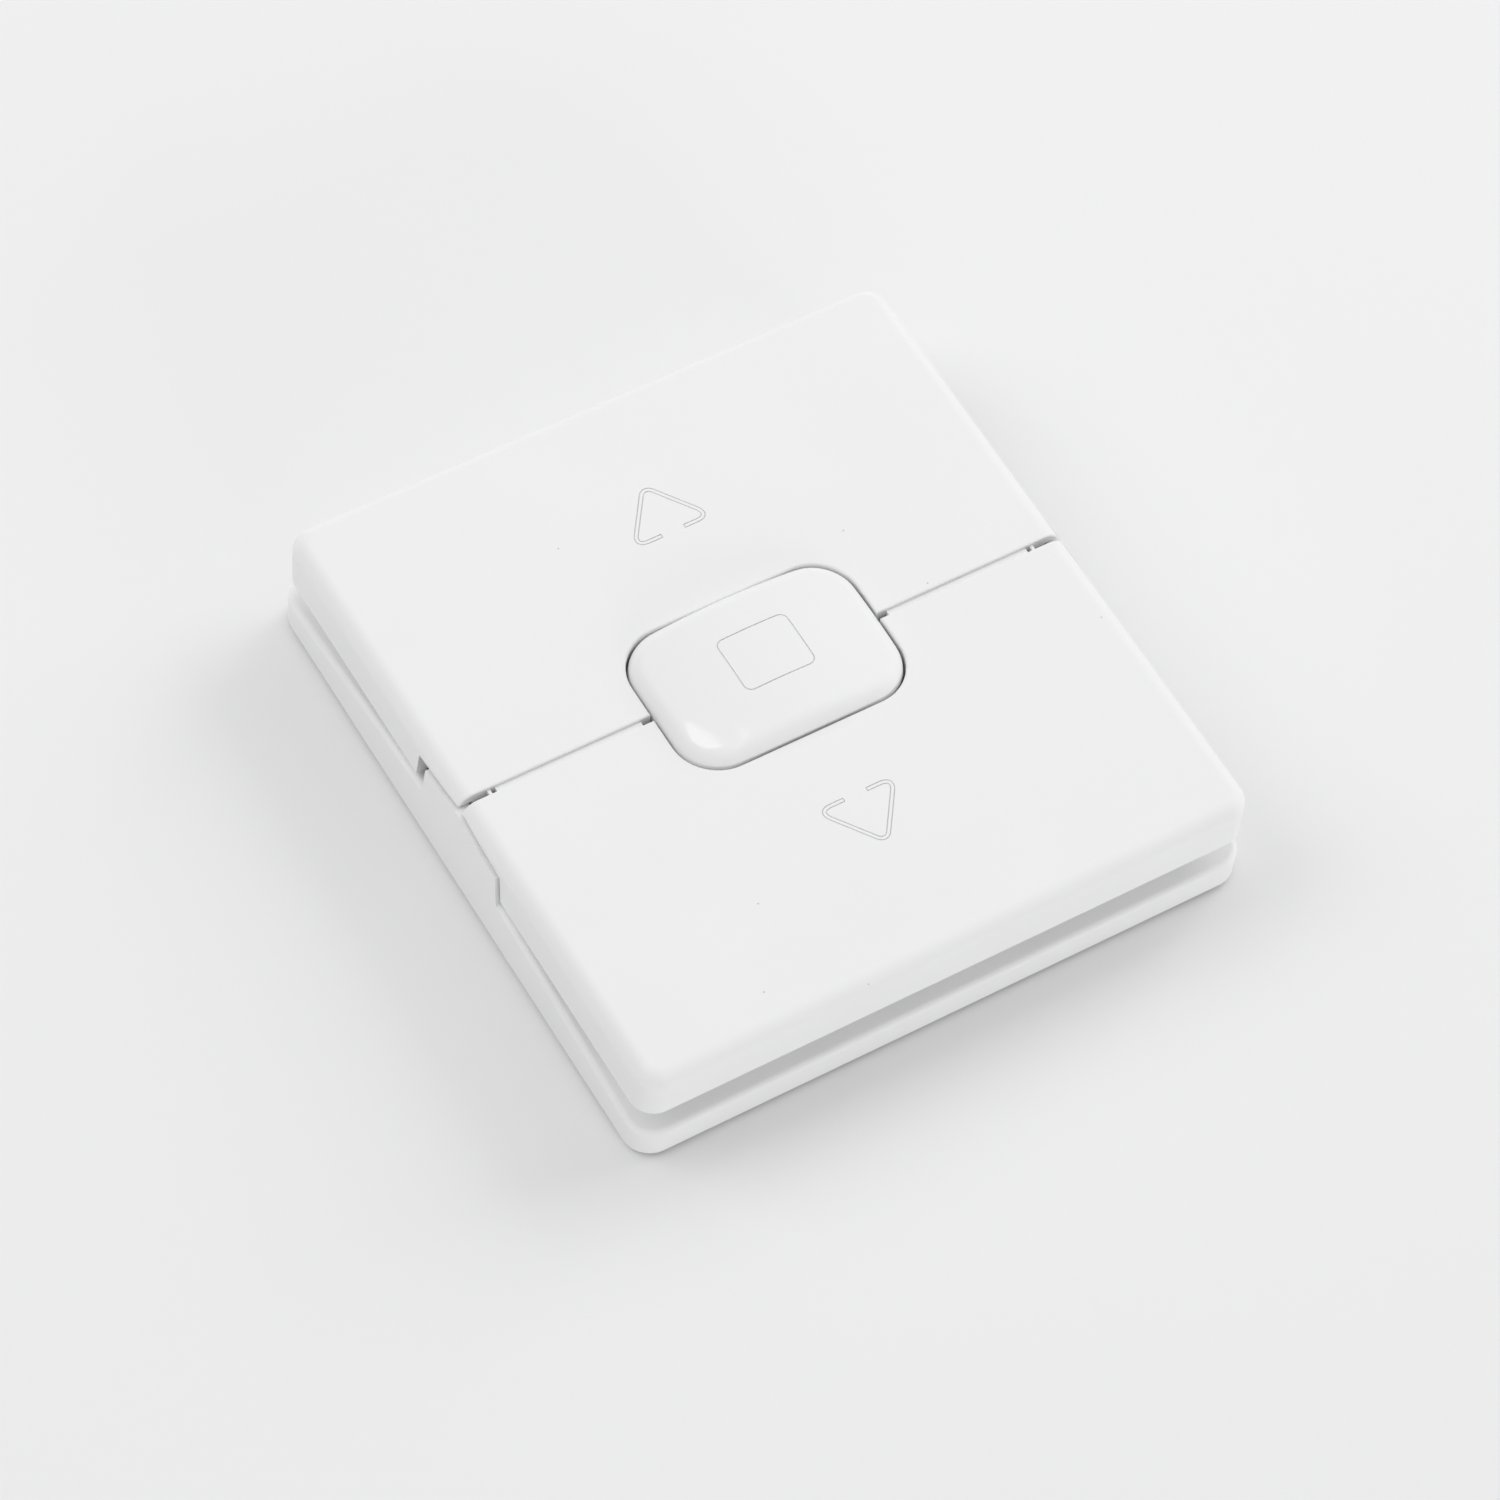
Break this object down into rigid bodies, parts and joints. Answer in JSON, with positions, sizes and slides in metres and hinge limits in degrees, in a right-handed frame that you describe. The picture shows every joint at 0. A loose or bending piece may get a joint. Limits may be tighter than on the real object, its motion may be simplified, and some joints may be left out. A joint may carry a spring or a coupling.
{
  "type": "awning switch",
  "caption": "White surface wall switch for an awning: up and down rocking keys, a glossy domed stop button and a radio board in a wedge-sided base on a wall plate.",
  "frame": {"origin": "centre of the wall plate's back face, which lies on the wall", "axes": "+Z out of the wall towards the user, +Y towards the up key, +X to the user's right along the gap"},
  "size_m": [0.0808, 0.0848, 0.0184],
  "materials": {
    "key_plastic": "satin white moulding",
    "button_plastic": "polished white moulding",
    "base_plastic": "satin white moulding",
    "plate_plastic": "fine textured white moulding",
    "board_laminate": "green solder mask",
    "switch_plastic": "black moulding",
    "plunger_plastic": "black moulding",
    "cell_steel": "nickel plated",
    "spring_steel": "rolled strip",
    "contact_brass": "plain",
    "can_steel": "tinned",
    "chip_epoxy": "moulded epoxy",
    "screw_steel": "zinc plated"
  },
  "bodies": {
    "base": {"base_frame": "base_plastic", "button_carrier": "base_plastic", "wall_plate": "plate_plastic", "circuit_board": "board_laminate", "up_switch": "switch_plastic", "down_switch": "switch_plastic", "stop_switch": "switch_plastic", "coin_cell": "cell_steel", "cell_clip": "spring_steel", "cell_contact": "contact_brass", "antenna_loop": "contact_brass", "radio_module": "can_steel", "controller_chip": "chip_epoxy", "board_screws": "screw_steel", "carrier_screws": "screw_steel"},
    "up_key": {"up_key": "key_plastic"},
    "down_key": {"down_key": "key_plastic"},
    "stop_button": {"stop_button": "button_plastic"},
    "up_plunger": {"up_plunger": "plunger_plastic"},
    "down_plunger": {"down_plunger": "plunger_plastic"},
    "stop_plunger": {"stop_plunger": "plunger_plastic"}
  },
  "joints": [
    {"name": "up_key_press", "type": "hinge", "parent": "base", "child": "up_key", "pos_m": [0, 0.0045, 0.0104], "axis": [-1, 0, 0], "range_deg": [0, 3], "stiffness_Nm_per_rad": 0.3, "springref_deg": -1.72},
    {"name": "down_key_press", "type": "hinge", "parent": "base", "child": "down_key", "pos_m": [0, -0.0045, 0.0104], "axis": [1, 0, 0], "range_deg": [0, 3], "stiffness_Nm_per_rad": 0.3, "springref_deg": -1.72},
    {"name": "stop_press", "type": "slide", "parent": "base", "child": "stop_button", "axis": [0, 0, -1], "range_m": [0, 0.0006], "stiffness_N_per_m": 2700, "springref_m": -0.0002},
    {"name": "up_plunger_slide", "type": "slide", "parent": "base", "child": "up_plunger", "axis": [0, 0, -1], "range_m": [0, 0.0007], "stiffness_N_per_m": 0.5, "springref_m": -0.001},
    {"name": "down_plunger_slide", "type": "slide", "parent": "base", "child": "down_plunger", "axis": [0, 0, -1], "range_m": [0, 0.0007], "stiffness_N_per_m": 0.5, "springref_m": -0.001},
    {"name": "stop_plunger_slide", "type": "slide", "parent": "base", "child": "stop_plunger", "axis": [0, 0, -1], "range_m": [0, 0.0007], "stiffness_N_per_m": 0.5, "springref_m": -0.001}
  ],
  "couplings": [
    {"joint": "up_plunger_slide", "follows": "up_key_press", "m_per_rad": 0.01},
    {"joint": "down_plunger_slide", "follows": "down_key_press", "m_per_rad": 0.01},
    {"joint": "stop_plunger_slide", "follows": "stop_press", "ratio": 1}
  ]
}
